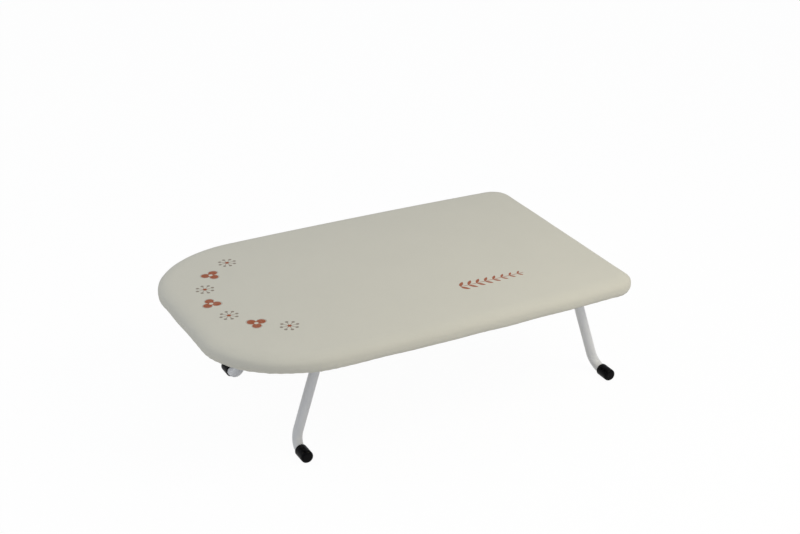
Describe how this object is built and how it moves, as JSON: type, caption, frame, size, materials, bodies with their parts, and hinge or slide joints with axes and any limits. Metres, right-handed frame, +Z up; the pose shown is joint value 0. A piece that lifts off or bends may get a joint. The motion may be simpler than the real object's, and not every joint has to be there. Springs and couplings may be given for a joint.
{
  "type": "tabletop ironing board",
  "caption": "Small padded ironing board with a rounded nose and a square end, cloth cover over a steel mesh, on bent tube legs that fold flat underneath.",
  "frame": {"origin": "on the table, under the middle of the top", "axes": "+X from the rounded nose towards the square end, +Y across the board, +Z up"},
  "size_m": [0.51, 0.3298, 0.1565],
  "materials": {
    "cover_cloth": "plain woven cotton, cream, with a few small printed leaves and seed heads at the nose",
    "foam": "open cell foam sheet",
    "elastic": "braided elastic cord",
    "mesh_coat": "grey dipped paint on expanded steel",
    "powder_coat": "light grey white powder coat, satin",
    "zinc": "zinc plated",
    "black_plastic": "black moulded plastic"
  },
  "bodies": {
    "board": {"clip_rivet_nose_far_in": "zinc", "clip_rivet_nose_far_out": "zinc", "clip_rivet_nose_near_in": "zinc", "clip_rivet_nose_near_out": "zinc", "clip_rivet_rear_far_in": "zinc", "clip_rivet_rear_far_out": "zinc", "clip_rivet_rear_near_in": "zinc", "clip_rivet_rear_near_out": "zinc", "cover": "cover_cloth", "cross_rail_nose": "powder_coat", "cross_rail_rear": "powder_coat", "elastic_cord": "elastic", "foam_pad": "foam", "leg_stop_nose_far": "powder_coat", "leg_stop_nose_near": "powder_coat", "leg_stop_rear_far": "powder_coat", "leg_stop_rear_near": "powder_coat", "mesh_top": "mesh_coat", "pivot_clip_nose_far": "powder_coat", "pivot_clip_nose_near": "powder_coat", "pivot_clip_rear_far": "powder_coat", "pivot_clip_rear_near": "powder_coat", "rim_ferrule": "zinc", "rim_tube": "powder_coat", "stop_rivet_nose_far": "zinc", "stop_rivet_nose_near": "zinc", "stop_rivet_rear_far": "zinc", "stop_rivet_rear_near": "zinc"},
    "nose_leg": {"foot_cap_nose_far": "black_plastic", "foot_cap_nose_near": "black_plastic", "leg_tube_nose": "powder_coat"},
    "rear_leg": {"foot_cap_rear_far": "black_plastic", "foot_cap_rear_near": "black_plastic", "leg_tube_rear": "powder_coat"}
  },
  "joints": [
    {"name": "nose_leg_fold", "type": "hinge", "parent": "board", "child": "nose_leg", "pos_m": [-0.1195, 0, 0.1292], "axis": [0, -1, 0], "range_deg": [0, 105]},
    {"name": "rear_leg_fold", "type": "hinge", "parent": "board", "child": "rear_leg", "pos_m": [0.209, 0, 0.1292], "axis": [0, 1, 0], "range_deg": [0, 105]}
  ]
}
